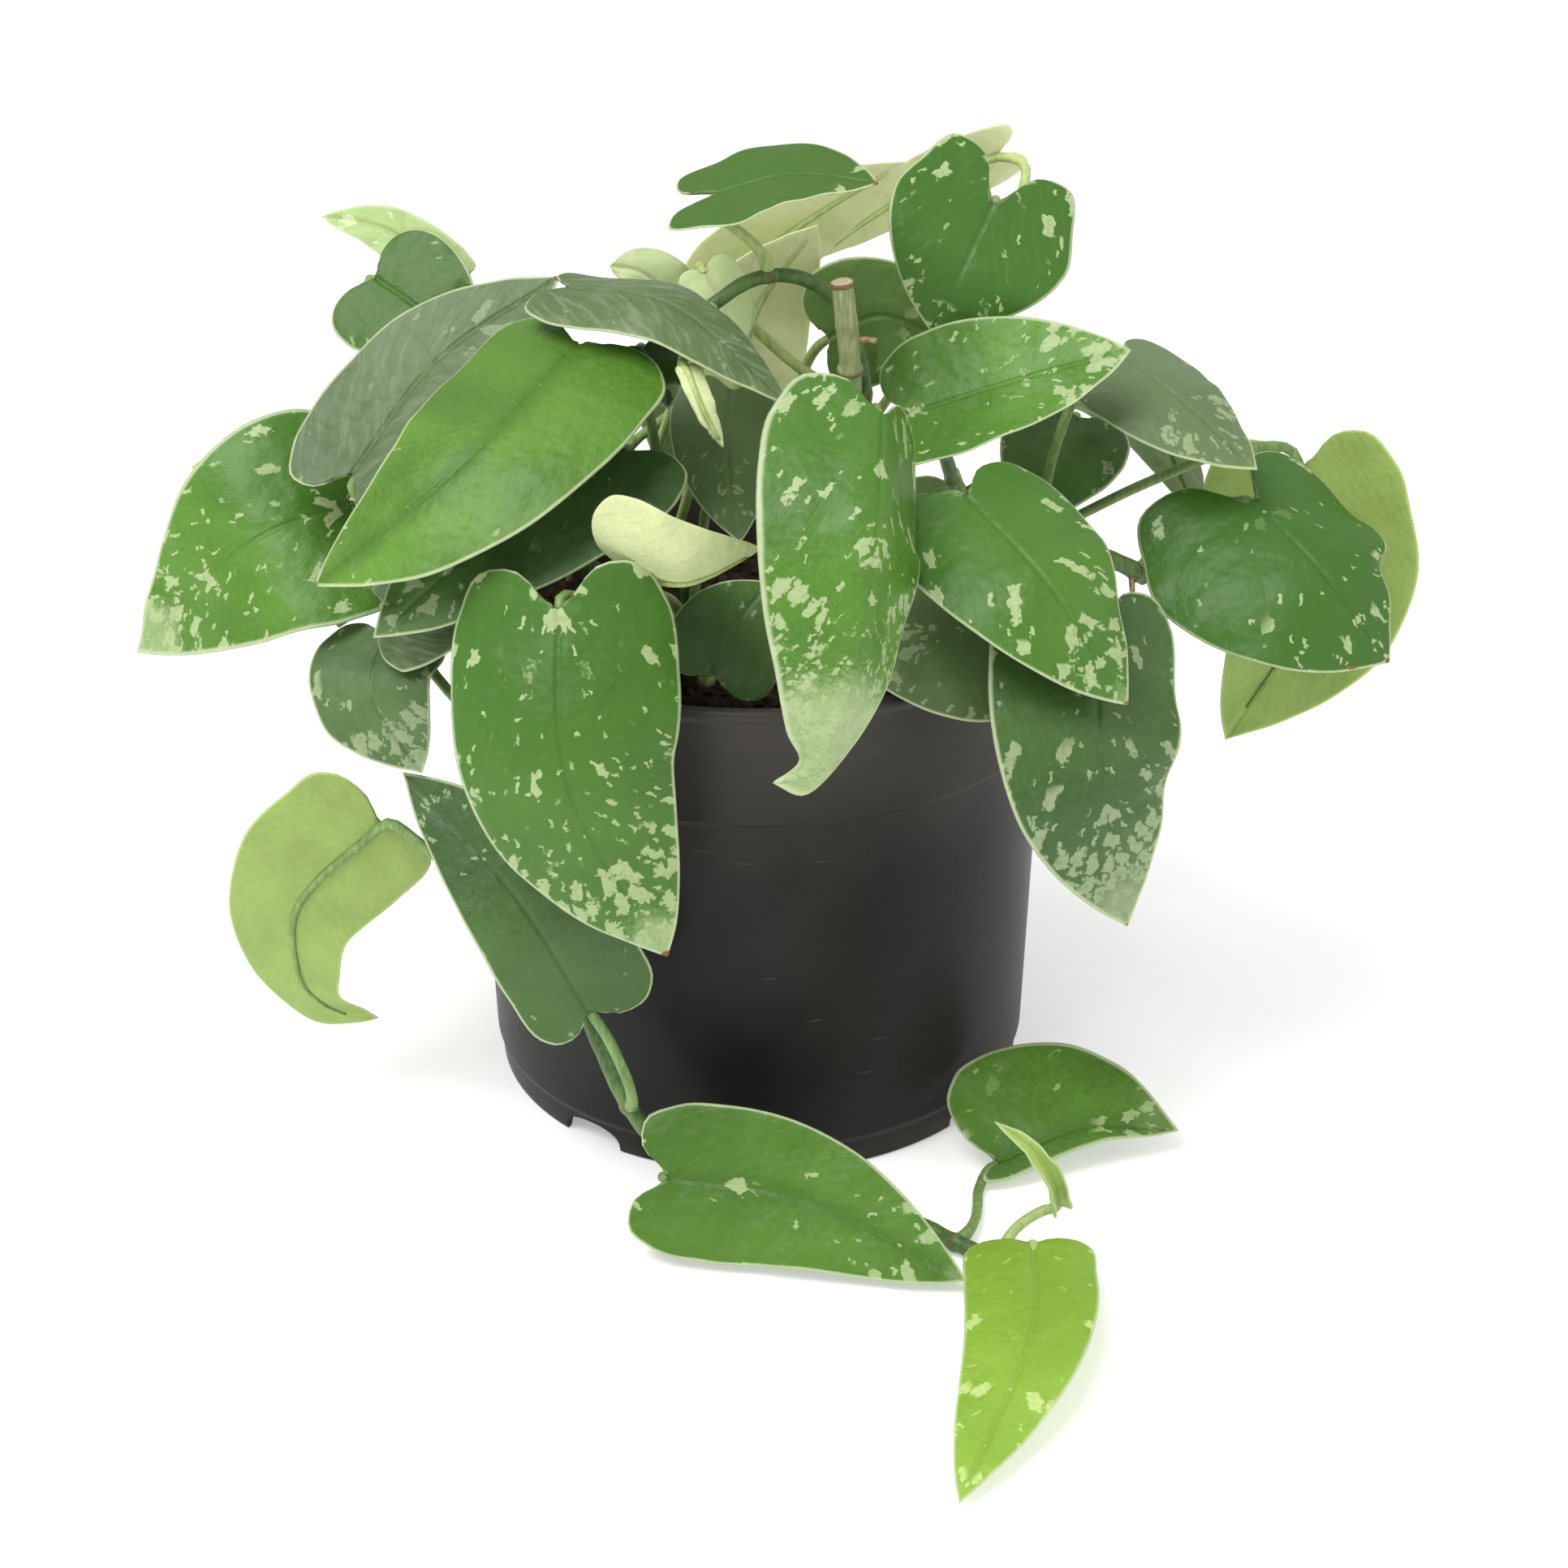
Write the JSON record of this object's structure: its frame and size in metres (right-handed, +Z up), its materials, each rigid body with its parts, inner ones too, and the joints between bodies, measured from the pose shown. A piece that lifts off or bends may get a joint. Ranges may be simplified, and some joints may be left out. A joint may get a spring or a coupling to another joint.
{
  "type": "potted trailing plant",
  "caption": "Trailing satin pothos with silver-splashed heart-shaped leaves in a round dark plastic nursery pot, one vine reaching down onto the surface in front.",
  "frame": {"origin": "centre of the flat pad under the pot, on the surface the pot stands on", "axes": "+Z up the pot's axis, -Y towards the side the vine trails from, +X to the right seen from that side"},
  "size_m": [0.3194, 0.3087, 0.2418],
  "materials": {
    "pot_plastic": "satin charcoal moulded plastic, lightly scuffed and dusty",
    "soil": "crumbly dark peat compost",
    "stem": "smooth green stem, tan where it is cut",
    "leaf_green": "velvety mid-green leaf with a few silver flecks and a thin pale margin",
    "leaf_spotted": "bright green leaf with many silver-grey splashes",
    "leaf_dark": "dark green leaf with faint silver streaks",
    "leaf_grey": "grey-green silvery leaf with green patches",
    "leaf_lime": "young yellow-green leaf",
    "leaf_pale": "pale cream-green leaf underside"
  },
  "bodies": {
    "root": {"pot": "pot_plastic", "soil": "soil", "left_vine": "stem", "trailing_vine": "stem", "right_vine": "stem", "top_vine": "stem", "stub_vine": "stem", "front_left_vine": "stem", "front_right_vine": "stem", "back_left_vine": "stem", "back_right_vine": "stem", "front_left_leaf": "leaf_spotted", "front_centre_leaf": "leaf_spotted", "front_right_leaf": "leaf_spotted", "front_under_leaf": "leaf_dark", "centre_shade_leaf": "leaf_dark", "centre_low_leaf": "leaf_dark", "centre_curled_leaf": "leaf_pale", "upper_right_leaf": "leaf_spotted", "right_drooping_leaf": "leaf_spotted", "right_shoulder_leaf": "leaf_dark", "right_back_leaf": "leaf_lime", "right_hanging_leaf": "leaf_dark", "right_inner_leaf": "leaf_dark", "left_broad_leaf": "leaf_green", "left_arching_leaf": "leaf_grey", "left_grey_leaf": "leaf_grey", "left_back_leaf": "leaf_green", "left_crown_leaf": "leaf_pale", "left_wide_leaf": "leaf_spotted", "left_far_leaf": "leaf_pale", "left_under_leaf": "leaf_dark", "left_veined_leaf": "leaf_grey", "left_small_leaf": "leaf_dark", "left_hanging_leaf": "leaf_lime", "left_upturned_leaf": "leaf_dark", "floor_front_leaf": "leaf_green", "floor_right_leaf": "leaf_green", "floor_lime_leaf": "leaf_lime", "crown_flat_leaf": "leaf_green", "crown_heart_leaf": "leaf_spotted", "crown_pale_leaf": "leaf_pale", "crown_long_leaf": "leaf_pale", "crown_veil_leaf": "leaf_pale", "crown_shoot_leaf": "leaf_pale", "crown_lobe_leaf": "leaf_pale", "crown_dark_leaf": "leaf_dark", "centre_round_leaf": "leaf_dark", "rolled_bud": "leaf_pale", "rolled_spike": "leaf_lime", "back_upper_left_leaf": "leaf_grey", "back_upper_right_leaf": "leaf_spotted", "back_middle_leaf": "leaf_green", "back_low_left_leaf": "leaf_dark", "back_low_right_leaf": "leaf_spotted", "back_crown_leaf": "leaf_green", "back_left_side_leaf": "leaf_spotted", "back_right_side_leaf": "leaf_green"}
  },
  "joints": []
}
